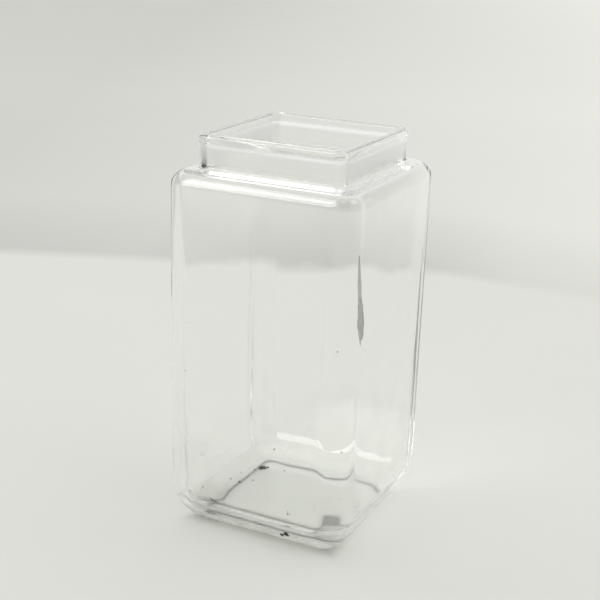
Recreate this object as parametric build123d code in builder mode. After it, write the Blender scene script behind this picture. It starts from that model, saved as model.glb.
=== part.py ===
"""Square glass specimen jar, open at the top.

The jar is one piece of mould-blown soda-lime glass: a tall square body with rounded corners, a deep round
heel that draws in to a smaller foot, a tight round shoulder, and a short square neck with a slight lip.
Nothing is fastened to it, and nothing on it moves.

Frame: the jar stands on the XY plane, +Z up, with its axis on Z and its flats square to X and Y.
All sizes are in millimetres.
"""

import os
from math import cos, radians, sin

from build123d import *

# Body, outside
body_width = 130.0  # across the flats, under the shoulder
body_draft = 0.8  # how much narrower the body is above the heel, so that it leaves its mould
body_corner_radius = 13.0
shoulder_height = 239.6  # table to the flat top of the shoulder
shoulder_drop = 10.6  # height of the round between the body's sides and the flat top
shoulder_ledge = 1.7  # flat between that round and the neck's root
shoulder_corner_radius = 6.0  # where the round meets the flat

# Heel and foot
foot_width = 92.0  # across the flats of the ring that the jar stands on
foot_corner_radius = 8.0
heel_height = 34.0  # table to where the sides become straight
ring_width = 6.0  # the foot's flat ring
recess_depth = 2.4  # the underside is hollow, so that the jar stands on the ring alone
recess_slope = 6.0  # run of the recess's sloping edge

# Neck and lip
neck_width = 100.4  # across the flats, under the lip
neck_corner_radius = 6.0
neck_root_radius = 1.2  # hollow round between the neck and the shoulder
neck_height = 20.8  # shoulder to the top of the lip
lip_height = 5.5
lip_overhang = 0.7  # how far the lip stands out from the neck
lip_outer_radius = 2.0
lip_inner_radius = 1.2
lip_underside_flat = 0.05  # what the round of the lip's lower edge leaves of the overhang

# Glass
wall = 3.6
neck_wall = 4.6
shoulder_wall = 3.7
floor_thickness = 9.0  # table to the inner floor
inner_heel_height = 17.0  # inner floor to where the inner sides become straight
inner_heel_run = 22.0  # inner floor's edge to the inner side
inner_corner_radius = 11.0  # under the shoulder
inner_heel_corner_radius = 17.0  # the glass is thickest in the corners near the base
inner_shoulder_drop = 7.2  # height of the round inside the shoulder
inner_shoulder_round_share = 0.36  # of the width inside the shoulder, what that round takes; the rest is flat
mouth_corner_radius = 4.5
mouth_root_radius = 2.4  # round where the mouth opens into the body

# How many steps draw a round
round_steps = 6

# Sizes that follow from these
jar_height = shoulder_height + neck_height
lip_start = jar_height - lip_height
lip_width = neck_width + 2 * lip_overhang
lip_corner_radius = neck_corner_radius + lip_overhang
shoulder_flat_width = neck_width + 2 * (neck_root_radius + shoulder_ledge)
mouth_width = neck_width - 2 * neck_wall
mouth_root_width = mouth_width + 2 * mouth_root_radius
cavity_top = shoulder_height - shoulder_wall
recess_rim_width = foot_width - 2 * ring_width


def squares(*sections):
    """Sketches of rounded squares, one for each section of (height, width, corner radius)."""
    sketches = []
    for height, width, corner_radius in sections:
        with BuildSketch(Plane.XY.offset(height)) as square:
            RectangleRounded(width, width, corner_radius)
        sketches.append(square.sketch)
    return sketches


def round_squares(low, high, flat_at_top):
    """Sketches of a quarter-ellipse round between two sections: a shoulder, flat at its top, or a heel."""
    sections = []
    for step in range(round_steps + 1):
        angle = radians(90 * step / round_steps)
        rise, run = (sin(angle), 1 - cos(angle)) if flat_at_top else (1 - cos(angle), sin(angle))
        sections.append([start + (end - start) * share for start, end, share in zip(low, high, (rise, run, run))])
    return squares(*sections)


# The space inside, which is taken out of the jar
with BuildPart() as cavity:
    inner_width_low = body_width - body_draft - 2 * wall
    inner_width_high = body_width - 2 * wall
    inner_floor_width = inner_width_low - 2 * inner_heel_run
    inner_flat_width = inner_width_high - (inner_width_high - mouth_root_width) * inner_shoulder_round_share

    inner_floor = (floor_thickness, inner_floor_width, inner_heel_corner_radius)
    sides_start = (floor_thickness + inner_heel_height, inner_width_low, inner_heel_corner_radius)
    sides_end = (cavity_top - inner_shoulder_drop, inner_width_high, inner_corner_radius)
    inner_flat = (cavity_top, inner_flat_width, mouth_corner_radius)
    loft(round_squares(inner_floor, sides_start, flat_at_top=False))
    loft(squares(sides_start, sides_end), ruled=True)
    loft(round_squares(sides_end, inner_flat, flat_at_top=True))

    with BuildSketch(Plane.XY.offset(cavity_top)):
        RectangleRounded(mouth_width, mouth_width, mouth_corner_radius)
    extrude(amount=jar_height - cavity_top)
    space_under_shoulder = cavity.faces().filter_by(Axis.Z).sort_by(Axis.Z)[-2]
    fillet(space_under_shoulder.inner_wires()[0].edges(), mouth_root_radius)

with BuildPart() as glass_jar:
    # Heel, body and shoulder; the body widens slightly upwards
    foot = (0, foot_width, foot_corner_radius)
    sides_start = (heel_height, body_width - body_draft, body_corner_radius)
    sides_end = (shoulder_height - shoulder_drop, body_width, body_corner_radius)
    shoulder_flat = (shoulder_height, shoulder_flat_width, shoulder_corner_radius)
    loft(round_squares(foot, sides_start, flat_at_top=False))
    loft(squares(sides_start, sides_end), ruled=True)
    loft(round_squares(sides_end, shoulder_flat, flat_at_top=True))

    # Neck, with a hollow round at its root
    with BuildSketch(Plane.XY.offset(shoulder_height)):
        RectangleRounded(neck_width, neck_width, neck_corner_radius)
    extrude(amount=neck_height - lip_height)
    ledge = glass_jar.faces().filter_by(Axis.Z).sort_by(Axis.Z)[-2]
    fillet(ledge.inner_wires()[0].edges(), neck_root_radius)

    # Lip, rounded outside
    with BuildSketch(Plane.XY.offset(lip_start)):
        RectangleRounded(lip_width, lip_width, lip_corner_radius)
    extrude(amount=lip_height)
    fillet(glass_jar.faces().sort_by(Axis.Z)[-1].outer_wire().edges(), lip_outer_radius)
    lip_underside = glass_jar.faces().filter_by(Axis.Z).sort_by(Axis.Z)[-2]
    fillet(lip_underside.outer_wire().edges(), lip_overhang - lip_underside_flat)

    # Inside, with the mouth's edge rounded by the same fire
    add(cavity.part, mode=Mode.SUBTRACT)
    fillet(glass_jar.faces().sort_by(Axis.Z)[-1].inner_wires()[0].edges(), lip_inner_radius)

    # Recess under the foot
    recess_rim = (0, recess_rim_width, foot_corner_radius)
    recess_top = (recess_depth, recess_rim_width - 2 * recess_slope, foot_corner_radius)
    loft(squares(recess_rim, recess_top), ruled=True, mode=Mode.SUBTRACT)

glass_jar.part.label = "glass_jar"
os.makedirs("parts", exist_ok=True)
export_step(glass_jar.part, "parts/glass_jar.step")
print(f"Brimful capacity {cavity.part.volume / 1e6:.2f} litres")
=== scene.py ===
"""Square glass specimen jar: the visual model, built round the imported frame. Metres, with +Z up."""
import math

import bpy
from mathutils import Matrix, Vector


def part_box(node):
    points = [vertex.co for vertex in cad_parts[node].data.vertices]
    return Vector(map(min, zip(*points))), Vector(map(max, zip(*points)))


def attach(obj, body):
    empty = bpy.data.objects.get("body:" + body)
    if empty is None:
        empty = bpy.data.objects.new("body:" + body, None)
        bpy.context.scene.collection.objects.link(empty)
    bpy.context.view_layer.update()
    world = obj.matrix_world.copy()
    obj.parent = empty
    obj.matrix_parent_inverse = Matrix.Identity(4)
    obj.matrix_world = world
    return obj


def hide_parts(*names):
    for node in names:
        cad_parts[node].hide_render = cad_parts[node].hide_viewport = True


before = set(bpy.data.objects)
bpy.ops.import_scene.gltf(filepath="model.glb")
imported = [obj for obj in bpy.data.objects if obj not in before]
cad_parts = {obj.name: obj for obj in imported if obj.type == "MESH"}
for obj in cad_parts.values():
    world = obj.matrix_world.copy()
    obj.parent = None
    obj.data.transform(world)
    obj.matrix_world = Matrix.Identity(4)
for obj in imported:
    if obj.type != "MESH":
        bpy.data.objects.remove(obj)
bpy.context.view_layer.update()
scene = bpy.context.scene

# ---------------------------------------------------------------------------------------------------------
# Jar
# One piece of clear soda-lime glass, blown in a square mould. The mould sets the outside; the inside is
# where the air pushed the soft glass, so it is a little uneven, and thickest in the base and the neck.
# The lip was rounded in the fire after the mouth was cut.
# ---------------------------------------------------------------------------------------------------------
mm = 0.001
jar_low, jar_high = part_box("glass_jar")
body_half = (jar_high.x - jar_low.x) / 2
rim_height = jar_high.z - jar_low.z

body_draft = 0.4 * mm  # how much nearer the axis each side is above the heel
body_corner = 13.0 * mm
neck_height = 20.8 * mm
shoulder_height = rim_height - neck_height
shoulder_drop = 10.6 * mm
shoulder_corner = 6.0 * mm
shoulder_ledge = 1.7 * mm
foot_half = 46.0 * mm
foot_corner = 8.0 * mm
heel_height = 34.0 * mm
ring_width = 6.0 * mm
ring_edge = 1.6 * mm
ring_edge_rise = 0.25 * mm
recess_depth = 2.4 * mm
recess_slope = 6.0 * mm
neck_half = 50.2 * mm
neck_corner = 6.0 * mm
neck_root = 1.2 * mm
lip_height = 5.5 * mm
lip_overhang = 0.7 * mm
lip_swell = 1.2 * mm  # how far above and below the lip's lower edge it swells out
lip_round = 2.0 * mm
mouth_round = 1.2 * mm
wall = 3.6 * mm
neck_wall = 4.6 * mm
shoulder_wall = 3.7 * mm
floor_height = 9.0 * mm
inner_heel_height = 17.0 * mm
inner_heel_run = 22.0 * mm
inner_corner = 11.0 * mm  # under the shoulder
inner_heel_corner = 17.0 * mm  # the glass is thickest in the corners near the base
inner_shoulder_drop = 7.2 * mm
inner_shoulder_ledge = 8.6 * mm
mouth_corner = 4.5 * mm
mouth_root = 2.4 * mm


def straight(start, end, pieces):
    """Points of a straight stretch of the section, without its first: (half-width, height, corner radius)."""
    return [
        [a + (b - a) * step / pieces for a, b in zip(start, end)]
        for step in range(1, pieces + 1)
    ]


def rounded(start, end, pieces, leaves_flat):
    """Points of a quarter-ellipse that leaves start flat and meets end upright, or the reverse."""
    points = []
    for step in range(1, pieces + 1):
        angle = math.pi / 2 * step / pieces
        early, late = math.sin(angle), 1 - math.cos(angle)
        across, up = (early, late) if leaves_flat else (late, early)
        shares = (across, up, across)
        points.append([a + (b - a) * share for a, b, share in zip(start, end, shares)])
    return points


# The outside of the section, from the middle of the underside up to the lip
ring_inner_half = foot_half - ring_width
recess_half = ring_inner_half - recess_slope
outside = [[0.0, recess_depth, 0.0]]
outside += straight(outside[-1], (recess_half, recess_depth, foot_corner), 6)
outside += straight(outside[-1], (ring_inner_half, ring_edge_rise, foot_corner), 5)
outside += rounded(outside[-1], (ring_inner_half + ring_edge, 0.0, foot_corner), 3, False)
outside += straight(outside[-1], (foot_half - ring_edge, 0.0, foot_corner), 2)
outside += rounded(outside[-1], (body_half - body_draft, heel_height, body_corner), 26, True)
outside += straight(outside[-1], (body_half, shoulder_height - shoulder_drop, body_corner), 40)
shoulder_flat = neck_half + neck_root + shoulder_ledge
outside += rounded(outside[-1], (shoulder_flat, shoulder_height, shoulder_corner), 16, False)
outside += straight(outside[-1], (neck_half + neck_root, shoulder_height, neck_corner + neck_root), 1)
outside += rounded(outside[-1], (neck_half, shoulder_height + neck_root, neck_corner), 6, True)
lip_half, lip_corner = neck_half + lip_overhang, neck_corner + lip_overhang
outside += straight(outside[-1], (neck_half, rim_height - lip_height - lip_swell, neck_corner), 6)
outside += rounded(outside[-1], (lip_half, rim_height - lip_height + lip_swell, lip_corner), 4, True)
outside += straight(outside[-1], (lip_half, rim_height - lip_round, lip_corner), 2)
outside += rounded(outside[-1], (lip_half - lip_round, rim_height, lip_corner - lip_round), 6, False)

# The inside, from the lip down to the middle of the inner floor
mouth_half = neck_half - neck_wall
inside = straight(outside[-1], (mouth_half + mouth_round, rim_height, mouth_corner + mouth_round), 2)
inside += rounded(inside[-1], (mouth_half, rim_height - mouth_round, mouth_corner), 5, True)
ceiling = shoulder_height - shoulder_wall
inside += straight(inside[-1], (mouth_half, ceiling + mouth_root, mouth_corner), 10)
inside += rounded(inside[-1], (mouth_half + mouth_root, ceiling, mouth_corner + mouth_root), 6, False)
inner_flat = mouth_half + mouth_root + inner_shoulder_ledge
inside += straight(inside[-1], (inner_flat, ceiling, mouth_corner + mouth_root), 1)
inside += rounded(inside[-1], (body_half - wall, ceiling - inner_shoulder_drop, inner_corner), 14, True)
heel_half, heel_top = body_half - body_draft - wall, floor_height + inner_heel_height
inside += straight(inside[-1], (heel_half, heel_top, inner_heel_corner), 44)
inside += rounded(inside[-1], (heel_half - inner_heel_run, floor_height, inner_heel_corner), 22, False)
inside += straight(inside[-1], (0.0, floor_height, 0.0), 9)


class Value:
    """A node's output, which Python's operators turn into Math nodes."""

    def __init__(self, nodes, socket):
        self.nodes, self.socket = nodes, socket

    def _maths(self, operation, *others, swapped=False):
        inputs = [self, *others][::-1] if swapped else [self, *others]
        made = self.nodes.node("ShaderNodeMath", {"operation": operation}, dict(enumerate(inputs)))
        return made.out(0)

    def __add__(self, other):
        return self._maths("ADD", other)

    def __radd__(self, other):
        return self._maths("ADD", other, swapped=True)

    def __sub__(self, other):
        return self._maths("SUBTRACT", other)

    def __rsub__(self, other):
        return self._maths("SUBTRACT", other, swapped=True)

    def __mul__(self, other):
        return self._maths("MULTIPLY", other)

    def __rmul__(self, other):
        return self._maths("MULTIPLY", other, swapped=True)

    def __truediv__(self, other):
        return self._maths("DIVIDE", other)

    def __rtruediv__(self, other):
        return self._maths("DIVIDE", other, swapped=True)

    def floor(self):
        return self._maths("FLOOR")

    def rounded(self):
        return self._maths("ROUND")

    def sine(self):
        return self._maths("SINE")

    def cosine(self):
        return self._maths("COSINE")

    def unsigned(self):
        """This value without its sign."""
        return self._maths("ABSOLUTE")

    def or_larger(self, other):
        """This value or the other, whichever is larger."""
        return self._maths("MAXIMUM", other)

    def clipped(self):
        """This value, kept between 0 and 1."""
        return self._maths("MAXIMUM", 0.0)._maths("MINIMUM", 1.0)


class Made:
    """One node that has been made; out() gives an output as a Value."""

    def __init__(self, nodes, node):
        self.nodes, self.node = nodes, node

    def out(self, name=0):
        return Value(self.nodes, self.node.outputs[name])


class Nodes:
    """A node tree, with one method that makes any node in it."""

    def __init__(self, tree):
        self.tree = tree

    def node(self, kind, settings=None, sockets=None):
        """Makes a node of this kind, applies its settings, then gives its sockets their values or links."""
        made = self.tree.nodes.new(kind)
        for name, value in (settings or {}).items():
            if name == "stops":
                ramp = made.color_ramp.elements
                while len(ramp) < len(value):
                    ramp.new(1.0)
                for element, (place, colour) in zip(ramp, value):
                    element.position = place
                    element.color = colour
            else:
                setattr(made, name, value)
        for name, value in (sockets or {}).items():
            if isinstance(value, Value):
                self.tree.links.new(value.socket, made.inputs[name])
            elif value is not None:
                made.inputs[name].default_value = value
        return Made(self, made)


def new_tree(name, inputs):
    """An empty Geometry Nodes tree with these named inputs after its geometry, each (name, socket type)."""
    tree = bpy.data.node_groups.new(name, "GeometryNodeTree")
    tree.interface.new_socket("Geometry", in_out="INPUT", socket_type="NodeSocketGeometry")
    tree.interface.new_socket("Geometry", in_out="OUTPUT", socket_type="NodeSocketGeometry")
    for label, kind in inputs:
        tree.interface.new_socket(label, in_out="INPUT", socket_type=kind)
    return tree


def plain_mesh(source, tree, values, name):
    """Runs a Geometry Nodes tree on source with these input values, giving a plain object."""
    modifier = source.modifiers.new(tree.name, "NODES")
    modifier.node_group = tree
    for item in tree.interface.items_tree:
        if item.in_out == "INPUT" and item.name in values:
            modifier[item.identifier] = values[item.name]
    evaluated = source.evaluated_get(bpy.context.evaluated_depsgraph_get())
    mesh = bpy.data.meshes.new_from_object(evaluated)
    source.modifiers.remove(modifier)
    bpy.data.objects.remove(source)
    mesh.name = name
    piece = bpy.data.objects.new(name, mesh)
    scene.collection.objects.link(piece)
    return piece


def square_loft_tree():
    """Lofts rounded squares: each point of the section gives a square's half-width, height and corner."""
    tree = new_tree(
        "square_loft",
        [
            ("Steps Along Half A Side", "NodeSocketInt"),
            ("Steps Round A Corner", "NodeSocketInt"),
            ("Unevenness", "NodeSocketFloat"),
            ("Ripple Length", "NodeSocketFloat"),
            ("Seed", "NodeSocketFloat"),
            ("Glass", "NodeSocketMaterial"),
        ],
    )
    nodes = Nodes(tree)
    given = nodes.node("NodeGroupInput")
    section = given.out("Geometry")
    side = given.out("Steps Along Half A Side")
    corner = given.out("Steps Round A Corner")
    counted = nodes.node("GeometryNodeAttributeDomainSize", {"component": "MESH"}, {"Geometry": section})
    points = counted.out("Point Count")
    quarter = 2 * side + corner
    sheet = nodes.node(
        "GeometryNodeMeshGrid",
        {},
        {"Size X": 1.0, "Size Y": 1.0, "Vertices X": 4 * quarter + 1, "Vertices Y": points},
    ).out("Mesh")
    place = nodes.node("ShaderNodeSeparateXYZ", {}, {0: nodes.node("GeometryNodeInputPosition").out()})
    step_round = ((place.out("X") + 0.5) * (4 * quarter)).rounded()
    step_up = ((place.out("Y") + 0.5) * (points - 1)).rounded()

    def at_section(kind, value):
        """A value of the section's point that this grid point stands over."""
        settings = {"data_type": kind, "domain": "POINT"}
        return nodes.node(
            "GeometryNodeSampleIndex", settings, {"Geometry": section, "Value": value, "Index": step_up}
        ).out("Value")

    def stored(name):
        named = nodes.node("GeometryNodeInputNamedAttribute", {"data_type": "FLOAT"}, {"Name": name})
        return named.out("Attribute")

    section_place = at_section("FLOAT_VECTOR", nodes.node("GeometryNodeInputPosition").out())
    on_section = nodes.node("ShaderNodeSeparateXYZ", {}, {0: section_place})
    half, height = on_section.out("X"), on_section.out("Z")
    radius = at_section("FLOAT", stored("corner_radius"))
    softness = at_section("FLOAT", stored("softness"))

    # One quarter turn: up the right side, round the corner, and back along the next side
    turns = (step_round / quarter).floor()
    step = step_round - turns * quarter
    up_side = (step / side).clipped()
    angle = ((step - side) / corner).clipped() * (math.pi / 2)
    along_side = ((step - side - corner) / side).clipped()
    reach = half - radius
    x = reach * (1 - along_side) + radius * angle.cosine()
    y = reach * up_side + radius * angle.sine()
    in_quarter = nodes.node("ShaderNodeCombineXYZ", {}, {"X": x, "Y": y, "Z": height}).out()
    turned = nodes.node(
        "ShaderNodeVectorRotate",
        {"rotation_type": "Z_AXIS"},
        {"Vector": in_quarter, "Angle": turns * (math.pi / 2)},
    ).out()
    kept = nodes.node(
        "GeometryNodeStoreNamedAttribute",
        {"data_type": "FLOAT", "domain": "POINT"},
        {"Geometry": sheet, "Name": "softness", "Value": softness},
    ).out()
    lofted = nodes.node("GeometryNodeSetPosition", {}, {"Geometry": kept, "Position": turned}).out()
    closed = nodes.node("GeometryNodeMergeByDistance", {}, {"Geometry": lofted, "Distance": 0.00001}).out()

    # The soft glass settles unevenly, along the surface's own normal
    place_in_ripples = nodes.node(
        "ShaderNodeVectorMath",
        {"operation": "SCALE"},
        {0: nodes.node("GeometryNodeInputPosition").out(), "Scale": 1 / given.out("Ripple Length")},
    ).out()
    noise = nodes.node(
        "ShaderNodeTexNoise",
        {"noise_dimensions": "4D"},
        {"Vector": place_in_ripples, "W": given.out("Seed"), "Scale": 1.0, "Detail": 1.0, "Roughness": 0.4},
    )
    swell = (noise.out(0) - 0.5) * 2.0 * given.out("Unevenness") * stored("softness")
    push = nodes.node(
        "ShaderNodeVectorMath",
        {"operation": "SCALE"},
        {0: nodes.node("GeometryNodeInputNormal").out(), "Scale": swell},
    ).out()
    uneven = nodes.node("GeometryNodeSetPosition", {}, {"Geometry": closed, "Offset": push}).out()
    smooth = nodes.node("GeometryNodeSetShadeSmooth", {}, {"Geometry": uneven}).out()
    real = nodes.node("GeometryNodeRealizeInstances", {}, {"Geometry": smooth}).out()
    glass = given.out("Glass")
    finished = nodes.node("GeometryNodeSetMaterial", {}, {"Geometry": real, "Material": glass}).out()
    nodes.node("NodeGroupOutput", {}, {"Geometry": finished})
    return tree


clear_tint = (0.992, 0.994, 0.986, 1.0)
soiled_tint = (0.46, 0.47, 0.39, 1.0)
shadow_tint = (0.93, 0.94, 0.925, 1.0)  # of the light that passes through to the table
polish, neck_haze, foot_haze = 0.02, 0.30, 0.42  # the roughness, and what the neck and the foot add
haze_fade = 3 * mm  # over which the neck's haze fades out below the lip and above the shoulder
foot_haze_low, foot_haze_run = 5 * mm, 11 * mm
soil_front, soil_run = -10 * mm, 36 * mm  # the soil on the foot's ring grows forward from here
soil_elsewhere = 0.12  # its share on the rest of the foot


def clear_glass():
    """Clear, faintly green-grey glass with a mould's fine waviness; hazy and soiled at the foot."""
    material = bpy.data.materials.new("clear_glass")
    material.use_nodes = True
    tree = material.node_tree
    tree.nodes.clear()
    nodes = Nodes(tree)
    place = nodes.node("ShaderNodeTexCoord").out("Object")
    axes = nodes.node("ShaderNodeSeparateXYZ", {}, {0: place})
    height = axes.out("Z")
    fine_wave = {"Vector": place, "Scale": 45.0, "Detail": 1.5, "Roughness": 0.45}
    waves = nodes.node("ShaderNodeTexNoise", {}, fine_wave)
    bump = nodes.node("ShaderNodeBump", {}, {"Height": waves.out(0), "Distance": 0.00012, "Strength": 0.5})

    above_shoulder = ((height - shoulder_height) / haze_fade).clipped()
    below_lip = ((rim_height - haze_fade - height) / haze_fade).clipped()
    at_foot = 1 - ((height - foot_haze_low) / foot_haze_run).clipped()
    roughness = polish + above_shoulder * below_lip * neck_haze + at_foot * foot_haze

    patchy = {"Vector": place, "Scale": 70.0, "Detail": 4.0, "Roughness": 0.65}
    patches = ((nodes.node("ShaderNodeTexNoise", {}, patchy).out(0) - 0.2) * 2.6).clipped()
    from_axis = axes.out("X").unsigned().or_larger(axes.out("Y").unsigned())
    on_ring = ((from_axis - recess_half) / recess_slope).clipped()
    at_front = ((soil_front - axes.out("Y")) / soil_run).clipped()
    share = soil_elsewhere + (1 - soil_elsewhere) * on_ring * at_front
    soiled = (at_foot * 1.5).clipped() * patches * share
    tints = {"Factor": soiled, 6: clear_tint, 7: soiled_tint}
    colour = nodes.node("ShaderNodeMix", {"data_type": "RGBA"}, tints).out(2)
    glass = nodes.node(
        "ShaderNodeBsdfPrincipled",
        {},
        {
            "Base Color": colour,
            "Roughness": roughness,
            "IOR": 1.5,
            "Transmission Weight": 1.0,
            "Normal": bump.out(),
        },
    ).out()
    passed = nodes.node("ShaderNodeBsdfTransparent", {}, {"Color": shadow_tint}).out()
    rays = nodes.node("ShaderNodeLightPath")
    mixed = nodes.node("ShaderNodeMixShader", {}, {0: rays.out("Is Shadow Ray"), 1: glass, 2: passed}).out()
    nodes.node("ShaderNodeOutputMaterial", {}, {"Surface": mixed})
    return material


def section_object(points, soft_from):
    """The jar's section as a line of points, with each one's corner radius, and how soft its glass was."""
    mesh = bpy.data.meshes.new("jar_section")
    edges = [(i, i + 1) for i in range(len(points) - 1)]
    mesh.from_pydata([(half, 0.0, height) for half, height, _ in points], edges, [])
    radii = mesh.attributes.new("corner_radius", "FLOAT", "POINT")
    radii.data.foreach_set("value", [corner for _, _, corner in points])
    softness = mesh.attributes.new("softness", "FLOAT", "POINT")
    softness.data.foreach_set("value", soft_from)
    section = bpy.data.objects.new("jar_section", mesh)
    scene.collection.objects.link(section)
    return section


# How far each point of the section moves as the glass settles: the mould holds the outside, and the
# finished rim and the standing ring stay true
mould_softness = 0.12
softness = []
for _, height, _ in outside:
    held = height < 1 * mm or height > rim_height - lip_height
    softness.append(0.0 if held else mould_softness)
for _, height, _ in inside:
    softness.append(min(max((ceiling - height) / (12 * mm), 0.0), 1.0))

jar = plain_mesh(
    section_object(outside + inside, softness),
    square_loft_tree(),
    {
        "Steps Along Half A Side": 16,
        "Steps Round A Corner": 14,
        "Unevenness": 0.45 * mm,
        "Ripple Length": 42 * mm,
        "Seed": 3.0,
        "Glass": clear_glass(),
    },
    "jar_glass",
)
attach(jar, "root")
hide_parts("glass_jar")


# ---------------------------------------------------------------------------------------------------------
# Dried residue
# Dark specks that the last contents left on the inner floor and heel, a few stuck on the walls, and one
# long run that dried beside the front corner.
# ---------------------------------------------------------------------------------------------------------
def residue_material(name, tone, thinness):
    """Matt dark dirt; thinness is how much of it the light gets through, in patches."""
    material = bpy.data.materials.new(name)
    material.use_nodes = True
    tree = material.node_tree
    tree.nodes.clear()
    nodes = Nodes(tree)
    place = nodes.node("ShaderNodeTexCoord").out("Object")
    grain = nodes.node("ShaderNodeTexNoise", {}, {"Vector": place, "Scale": 900.0, "Detail": 2.0}).out(0)
    patches = 0.6 + grain * 0.8
    level = tone * patches
    brown = {"Red": level, "Green": level * 0.92, "Blue": level * 0.74}
    colour = nodes.node("ShaderNodeCombineColor", {}, brown).out()
    cover = 1 - thinness * patches if thinness else 1.0
    dirt = {"Base Color": colour, "Roughness": 0.95, "Alpha": cover}
    shader = nodes.node("ShaderNodeBsdfPrincipled", {}, dirt).out()
    nodes.node("ShaderNodeOutputMaterial", {}, {"Surface": shader})
    return material


def glass_under(nodes, surface):
    """The nearest place on the glass surface to each point, and the surface's normal there."""
    nearest = nodes.node("GeometryNodeProximity", {"target_element": "FACES"}, {"Geometry": surface})
    normal = nodes.node("GeometryNodeInputNormal").out()
    facing = nodes.node(
        "GeometryNodeSampleNearestSurface",
        {"data_type": "FLOAT_VECTOR"},
        {"Mesh": surface, "Value": normal},
    )
    return nearest.out("Position"), facing.out("Value")


def stored_size(nodes):
    """The width that each incoming point carries."""
    named = nodes.node("GeometryNodeInputNamedAttribute", {"data_type": "FLOAT"}, {"Name": "size"})
    return named.out("Attribute")


def scaled(nodes, vector, factor):
    """The vector times the factor."""
    return nodes.node("ShaderNodeVectorMath", {"operation": "SCALE"}, {0: vector, "Scale": factor}).out()


def specks_tree():
    """Sticks a speck on the glass at each incoming point, and scatters smaller ones over the floor."""
    tree = new_tree(
        "specks",
        [
            ("Glass Surface", "NodeSocketObject"),
            ("Specks Per Square Metre", "NodeSocketFloat"),
            ("Smallest", "NodeSocketFloat"),
            ("Largest", "NodeSocketFloat"),
            ("Seed", "NodeSocketInt"),
            ("Residue", "NodeSocketMaterial"),
        ],
    )
    nodes = Nodes(tree)
    given = nodes.node("NodeGroupInput")
    jar_surface = {"Object": given.out("Glass Surface")}
    surface = nodes.node("GeometryNodeObjectInfo", {}, jar_surface).out("Geometry")
    seed = given.out("Seed")
    position = nodes.node("GeometryNodeInputPosition").out()
    place = nodes.node("ShaderNodeSeparateXYZ", {}, {0: position})
    facing = nodes.node("ShaderNodeSeparateXYZ", {}, {0: nodes.node("GeometryNodeInputNormal").out()})

    # Most lie on the inner floor and heel, in drifts, and more of them towards the front left
    low = ((floor_height + 9 * mm - place.out("Z")) / (8 * mm)).clipped()
    upward = ((facing.out("Z") - 0.25) * 4.0).clipped()
    drift = nodes.node("ShaderNodeTexNoise", {}, {"Vector": position, "Scale": 55.0, "Detail": 2.0}).out(0)
    towards = (0.55 - place.out("X") * 6.0 - place.out("Y") * 8.0).clipped() + 0.08
    share = low * upward * ((drift - 0.5) * 7.0).clipped() * towards
    density = share * given.out("Specks Per Square Metre")
    scattered = nodes.node(
        "GeometryNodeDistributePointsOnFaces",
        {"distribute_method": "RANDOM"},
        {"Mesh": surface, "Density": density, "Seed": seed},
    ).out("Points")
    any_chance = {2: 0.0, 3: 1.0, "Seed": seed}
    chance = nodes.node("FunctionNodeRandomValue", {"data_type": "FLOAT"}, any_chance).out(1)
    smallest = given.out("Smallest")
    width = smallest + (given.out("Largest") - smallest) * chance * chance * chance
    sized = nodes.node(
        "GeometryNodeStoreNamedAttribute",
        {"data_type": "FLOAT", "domain": "POINT"},
        {"Geometry": scattered, "Name": "size", "Value": width},
    ).out()
    placed = nodes.node("GeometryNodeMeshToPoints", {}, {"Mesh": given.out("Geometry")}).out()
    join = nodes.node("GeometryNodeJoinGeometry")
    for points in (sized, placed):
        tree.links.new(points.socket, join.node.inputs[0])

    # Each is a flat, ragged lump, turned to lie on the glass where it is
    on_glass, glass_normal = glass_under(nodes, surface)
    stuck = nodes.node("GeometryNodeSetPosition", {}, {"Geometry": join.out(), "Position": on_glass}).out()
    any_turn = {0: (0, 0, 0), 1: (0, 0, 6.28), "Seed": seed}
    spin = nodes.node("FunctionNodeRandomValue", {"data_type": "FLOAT_VECTOR"}, any_turn).out(0)
    lying = {"Rotation": spin, "Vector": glass_normal}
    turned = nodes.node("FunctionNodeAlignRotationToVector", {"axis": "Z"}, lying).out()
    any_shape = {0: (0.6, 0.4, 0.16), 1: (1.1, 0.8, 0.26), "Seed": seed}
    stretch = nodes.node("FunctionNodeRandomValue", {"data_type": "FLOAT_VECTOR"}, any_shape).out(0)
    size = stored_size(nodes)
    lump = nodes.node("GeometryNodeMeshIcoSphere", {}, {"Radius": 0.5, "Subdivisions": 3}).out("Mesh")
    specks = nodes.node(
        "GeometryNodeInstanceOnPoints",
        {},
        {"Points": stuck, "Instance": lump, "Rotation": turned, "Scale": scaled(nodes, stretch, size)},
    ).out()
    real = nodes.node("GeometryNodeRealizeInstances", {}, {"Geometry": specks}).out()
    tear = {"Vector": position, "Scale": 700.0, "Detail": 2.0}
    ragged = nodes.node("ShaderNodeTexNoise", {}, tear).out(1)
    centred = {0: ragged, 1: (0.5, 0.5, 0.5)}
    off_centre = nodes.node("ShaderNodeVectorMath", {"operation": "SUBTRACT"}, centred).out()
    torn = scaled(nodes, off_centre, size * 0.8)
    lumps = nodes.node("GeometryNodeSetPosition", {}, {"Geometry": real, "Offset": torn}).out()
    residue = given.out("Residue")
    finished = nodes.node("GeometryNodeSetMaterial", {}, {"Geometry": lumps, "Material": residue}).out()
    nodes.node("NodeGroupOutput", {}, {"Geometry": finished})
    return tree


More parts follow.
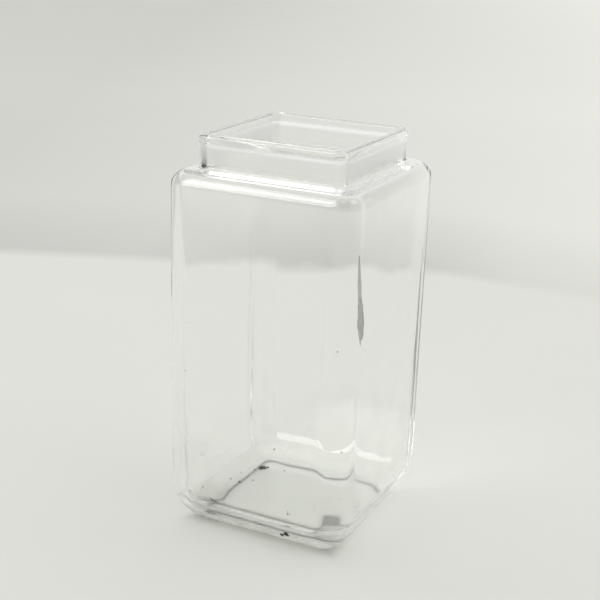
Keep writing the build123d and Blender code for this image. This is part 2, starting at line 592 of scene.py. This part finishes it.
# The larger specks, in millimetres: where each is stuck, and how wide it is
stuck_specks = [
    ((-36.8, 20.9, 9.0), 7.0),
    ((-34.0, 23.5, 9.0), 4.0),
    ((-39.7, -4.9, 9.0), 3.0),
    ((23.7, -59.6, 10.4), 5.5),
    ((20.0, -58.5, 8.6), 4.0),
    ((-39.0, -44.0, 10.0), 4.5),
    ((-35.0, -46.0, 10.5), 3.2),
    ((-43.0, -38.0, 10.5), 3.2),
    ((-41.0, -41.0, 10.2), 3.0),
    ((-37.0, -45.0, 10.2), 2.6),
    ((-45.0, -36.0, 11.0), 2.0),
    ((-46.0, -41.0, 12.5), 2.2),
    ((-41.5, -46.0, 12.0), 2.0),
    ((-33.0, -48.0, 10.5), 2.4),
    ((-43.5, -48.5, 6.0), 3.0),
    ((-47.0, -48.0, 6.0), 2.4),
    ((-49.0, -48.0, 8.0), 1.8),
    ((-44.5, -47.5, 3.0), 2.2),
    ((-39.0, -48.5, 4.5), 2.4),
    ((-33.0, -48.5, 4.0), 1.8),
    ((-36.7, -61.0, 30.6), 1.8),
    ((-46.6, -60.9, 25.1), 1.6),
    ((54.8, -60.1, 142.7), 1.1),
    ((-49.0, -61.3, 142.4), 0.9),
    ((-49.8, -61.1, 109.6), 1.1),
    ((58.2, -56.6, 75.9), 1.4),
    ((-0.5, 38.2, 9.0), 1.8),
    ((11.4, 7.0, 9.0), 1.4),
]
places = bpy.data.meshes.new("speck_places")
places.from_pydata([[length * mm for length in place] for place, _ in stuck_specks], [], [])
widths = places.attributes.new("size", "FLOAT", "POINT")
widths.data.foreach_set("value", [width * mm for _, width in stuck_specks])
speck_places = bpy.data.objects.new("speck_places", places)
scene.collection.objects.link(speck_places)
specks = plain_mesh(
    speck_places,
    specks_tree(),
    {
        "Glass Surface": jar,
        "Specks Per Square Metre": 60000.0,
        "Smallest": 0.2 * mm,
        "Largest": 1.8 * mm,
        "Seed": 5,
        "Residue": residue_material("dried_residue", 0.035, 0.0),
    },
    "residue_specks",
)
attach(specks, "root")


def run_tree():
    """A thin run down the glass: a tube through the incoming points, as wide as their sizes, pressed flat."""
    tree = new_tree(
        "dried_run",
        [
            ("Glass Surface", "NodeSocketObject"),
            ("Flatness", "NodeSocketFloat"),
            ("Stands Off", "NodeSocketFloat"),
            ("Residue", "NodeSocketMaterial"),
        ],
    )
    nodes = Nodes(tree)
    given = nodes.node("NodeGroupInput")
    jar_surface = {"Object": given.out("Glass Surface")}
    surface = nodes.node("GeometryNodeObjectInfo", {}, jar_surface).out("Geometry")
    position = nodes.node("GeometryNodeInputPosition").out()
    line = nodes.node("GeometryNodeMeshToCurve", {}, {"Mesh": given.out("Geometry")}).out()
    through_points = {"spline_type": "CATMULL_ROM"}
    curved = nodes.node("GeometryNodeCurveSplineType", through_points, {"Curve": line}).out()
    fine = nodes.node("GeometryNodeResampleCurve", {"mode": "COUNT"}, {"Curve": curved, "Count": 90}).out()
    ripple = {"Vector": position, "Scale": 220.0, "Detail": 2.0}
    uneven = nodes.node("ShaderNodeTexNoise", {}, ripple).out(0)
    across = stored_size(nodes) * (0.6 + uneven * 0.8)
    ring = nodes.node("GeometryNodeCurvePrimitiveCircle", {}, {"Resolution": 16, "Radius": 0.5}).out()
    tube = nodes.node(
        "GeometryNodeCurveToMesh",
        {},
        {"Curve": fine, "Profile Curve": ring, "Scale": across, "Fill Caps": True},
    ).out()
    on_glass, glass_normal = glass_under(nodes, surface)
    apart = {0: position, 1: on_glass}
    from_glass = nodes.node("ShaderNodeVectorMath", {"operation": "SUBTRACT"}, apart).out()
    pressed = scaled(nodes, from_glass, given.out("Flatness"))
    lifted = scaled(nodes, glass_normal, given.out("Stands Off"))
    offset = nodes.node("ShaderNodeVectorMath", {"operation": "ADD"}, {0: pressed, 1: lifted}).out()
    against_glass = {"Geometry": tube, "Position": on_glass, "Offset": offset}
    flat = nodes.node("GeometryNodeSetPosition", {}, against_glass).out()
    smooth = nodes.node("GeometryNodeSetShadeSmooth", {}, {"Geometry": flat}).out()
    real = nodes.node("GeometryNodeRealizeInstances", {}, {"Geometry": smooth}).out()
    residue = given.out("Residue")
    finished = nodes.node("GeometryNodeSetMaterial", {}, {"Geometry": real, "Material": residue}).out()
    nodes.node("NodeGroupOutput", {}, {"Geometry": finished})
    return tree


# The run, in millimetres from the top down: where it passes, and how wide it is there
run_places = [
    ((60.9, -52.3, 201.5), 0.8),
    ((61.0, -51.4, 190.0), 2.2),
    ((61.2, -49.9, 175.0), 3.4),
    ((61.2, -48.6, 163.0), 5.2),
    ((61.3, -47.6, 153.0), 5.0),
    ((61.3, -46.8, 143.6), 0.8),
]
run_line = bpy.data.meshes.new("run_line")
run_steps = [(step, step + 1) for step in range(len(run_places) - 1)]
run_line.from_pydata([[length * mm for length in place] for place, _ in run_places], run_steps, [])
run_widths = run_line.attributes.new("size", "FLOAT", "POINT")
run_widths.data.foreach_set("value", [width * mm for _, width in run_places])
run_source = bpy.data.objects.new("run_line", run_line)
scene.collection.objects.link(run_source)
dried_run = plain_mesh(
    run_source,
    run_tree(),
    {
        "Glass Surface": jar,
        "Flatness": 0.15,
        "Stands Off": 0.25 * mm,
        "Residue": residue_material("dried_run", 0.20, 0.58),
    },
    "dried_run",
)
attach(dried_run, "root")


# ---------------------------------------------------------------------------------------------------------
# Table and backdrop
# A pale cloth that the jar stands on, one flat sheet. Where it turns up behind is only painted: darker, as
# painted shade, with painted light and a painted fold shadow on it; under the jar's heel is painted shade.
# Not part of the object.
# ---------------------------------------------------------------------------------------------------------
cloth_reach = 9.0
# The sheet stays flat: the cloth's turn behind this line is only painted, in the darker tone set below
bend_at, bend_turn = (-0.26, 0.492, 0.0), math.radians(22.5)  # the line where the cloth turns up
bend_furthest = 0.56  # on the right the line runs straight across, this far behind the jar
bend_width = 0.035
near_tone, front_fall = 0.755, 0.12  # the cloth in front, and how much darker it is towards the viewer
# Behind the bend: painted shade, lightened by painted light to the right, with height and further back
back_tone, back_across, back_rise, back_far = 0.565, 0.26, 0.10, 0.10  # behind, and what adds to it
# Painted shadow of one soft fold above the bend; the sheet itself has no fold in it
fold_shade, fold_place, fold_half, fold_height = 0.15, 0.05, 0.22, 0.45  # one soft fold above the bend
# Painted shade in a ring on the cloth under the jar's heel, standing in for the jar's shadow
heel_shade, heel_shade_width = 0.26, 11 * mm


def cloth_sheet():
    """A wide flat sheet, with its material: pale, and painted darker, as painted shade, past the line where
    the cloth turns up.
    """
    mesh = bpy.data.meshes.new("table")
    reach = cloth_reach
    corners = [(-reach, -reach, 0), (reach, -reach, 0), (reach, reach, 0), (-reach, reach, 0)]
    mesh.from_pydata(corners, [], [(0, 1, 2, 3)])
    material = bpy.data.materials.new("pale_cloth")
    material.use_nodes = True
    tree = material.node_tree
    tree.nodes.clear()
    nodes = Nodes(tree)
    place = nodes.node("ShaderNodeTexCoord").out("Object")
    straight_on = nodes.node("ShaderNodeSeparateXYZ", {}, {0: place})
    turned = nodes.node(
        "ShaderNodeMapping",
        {"vector_type": "TEXTURE"},
        {"Vector": place, "Location": bend_at, "Rotation": (0, 0, bend_turn)},
    ).out()
    along_bend = nodes.node("ShaderNodeSeparateXYZ", {}, {0: turned})
    wander = nodes.node("ShaderNodeTexNoise", {}, {"Vector": turned, "Scale": 3.0, "Detail": 1.0}).out(0)
    straight_behind = straight_on.out("Y") - bend_furthest
    behind = along_bend.out("Y").or_larger(straight_behind) + (wander - 0.5) * 0.02
    beyond = (behind / bend_width).clipped()

    # Behind: painted light, paler with height and to the right, and the painted shadow of one soft fold
    far = (behind / 1.2).clipped()
    rise = (behind / 0.3).clipped()
    across = ((along_bend.out("X") + 0.5) / 1.5).clipped()
    in_fold = (1 - (along_bend.out("X") - fold_place).unsigned() / fold_half).clipped()
    low_down = (1 - behind / fold_height).clipped()
    lit_back = back_tone + back_across * across + back_rise * rise + back_far * far
    back = lit_back - fold_shade * in_fold * low_down

    # In front: a little darker towards the viewer, and painted shade in a ring under the heel, heaviest in
    # front
    near = (behind / -0.9).clipped()
    from_jar = straight_on.out("X").unsigned().or_larger(straight_on.out("Y").unsigned())
    under_heel = (1 - (from_jar - foot_half).unsigned() / heel_shade_width).clipped()
    front_side = ((20 * mm - straight_on.out("Y")) / (60 * mm)).clipped()
    front = near_tone - front_fall * near - heel_shade * under_heel * front_side

    weave = nodes.node("ShaderNodeTexNoise", {}, {"Vector": place, "Scale": 6.0, "Detail": 3.0}).out(0)
    tone = front * (1 - beyond) + back * beyond + (weave - 0.5) * 0.02
    warm_white = {"Red": tone, "Green": tone * 1.004, "Blue": tone * 0.962}
    colour = nodes.node("ShaderNodeCombineColor", {}, warm_white).out()
    cloth = {"Base Color": colour, "Roughness": 0.9, "Specular IOR Level": 0.1}
    shader = nodes.node("ShaderNodeBsdfPrincipled", {}, cloth).out()
    nodes.node("ShaderNodeOutputMaterial", {}, {"Surface": shader})
    mesh.materials.append(material)
    sheet = bpy.data.objects.new("table", mesh)
    scene.collection.objects.link(sheet)
    return sheet


cloth_sheet()


# ---------------------------------------------------------------------------------------------------------
# Light
# A tall window to the front left, two smaller, higher ones that show only in the jar's shine, and an even
# room round them, darker behind the viewer.
# ---------------------------------------------------------------------------------------------------------
window_distance = 1.6


def window(name, towards, size, power, seen_through):
    """A soft light in the direction towards, facing the shoulder; seen_through shows it through the glass."""
    light = bpy.data.lights.new(name, "AREA")
    light.shape = "RECTANGLE"
    light.size, light.size_y = size
    light.energy = power
    lamp = bpy.data.objects.new(name, light)
    direction = Vector(towards).normalized()
    lamp.location = Vector((0, 0, shoulder_height)) + direction * window_distance
    lamp.rotation_euler = direction.to_track_quat("Z", "Y").to_euler()
    lamp.visible_transmission = seen_through
    scene.collection.objects.link(lamp)


window("window_left", (-0.458, -0.76, 0.42), (0.55, 0.95), 8.0, True)
window("window_right", (0.60, 0.01, 0.80), (0.7, 0.7), 4.2, False)
window("window_above", (0.129, -0.483, 0.866), (0.35, 0.35), 1.4, False)

dark_side = (0.42, -0.85, 0.31)
dark_edge, dark_blend, darkness = 0.78, 0.14, 0.75
low_tone, level_tone, high_tone = (0.65, 0.65, 0.64, 1), (0.85, 0.85, 0.835, 1), (0.87, 0.87, 0.853, 1)


def room_light():
    """The even room: a little brighter above than below, and darker towards dark_side."""
    world = bpy.data.worlds.new("room")
    world.use_nodes = True
    tree = world.node_tree
    tree.nodes.clear()
    nodes = Nodes(tree)
    direction = nodes.node("ShaderNodeTexCoord").out("Generated")
    height = nodes.node("ShaderNodeSeparateXYZ", {}, {0: direction}).out("Z")
    stops = [(0.0, low_tone), (0.5, level_tone), (1.0, high_tone)]
    colour = nodes.node("ShaderNodeValToRGB", {"stops": stops}, {"Fac": height * 0.5 + 0.5}).out("Color")
    compared = {0: direction, 1: dark_side}
    facing_dark = nodes.node("ShaderNodeVectorMath", {"operation": "DOT_PRODUCT"}, compared).out("Value")
    strength = 1 - ((facing_dark - dark_edge) / dark_blend).clipped() * darkness
    background = nodes.node("ShaderNodeBackground", {}, {"Color": colour, "Strength": strength}).out()
    nodes.node("ShaderNodeOutputWorld", {}, {"Surface": background})
    return world


scene.world = room_light()


# ---------------------------------------------------------------------------------------------------------
# Camera
# Eye height a little above the rim, looking down on one corner of the jar.
# ---------------------------------------------------------------------------------------------------------
azimuth, pitch, roll = (math.radians(angle) for angle in (25.9, 18.28, 1.84))
back = Vector((math.sin(azimuth) * math.cos(pitch), -math.cos(azimuth) * math.cos(pitch), math.sin(pitch)))
right = Vector((math.cos(azimuth), math.sin(azimuth), 0))
up = back.cross(right)
rolled_right = right * math.cos(roll) + up * math.sin(roll)
rolled_up = up * math.cos(roll) - right * math.sin(roll)
looked_at = Vector((0, 0, 124.6 * mm))
eye = looked_at + back * 819.2 * mm + rolled_right * 0.14 * mm + rolled_up * 22.5 * mm

lens = bpy.data.cameras.new("camera")
lens.lens = 74.26
lens.clip_start, lens.clip_end = 0.01, 60.0
camera = bpy.data.objects.new("camera", lens)
axes = Matrix((rolled_right, rolled_up, back)).transposed()
camera.matrix_world = Matrix.Translation(eye) @ axes.to_4x4()
scene.collection.objects.link(camera)
scene.camera = camera
scene.view_settings.view_transform = "Standard"

# Light goes round inside thick glass many times before it leaves
scene.cycles.max_bounces = 40
scene.cycles.glossy_bounces = 30
scene.cycles.transmission_bounces = 30
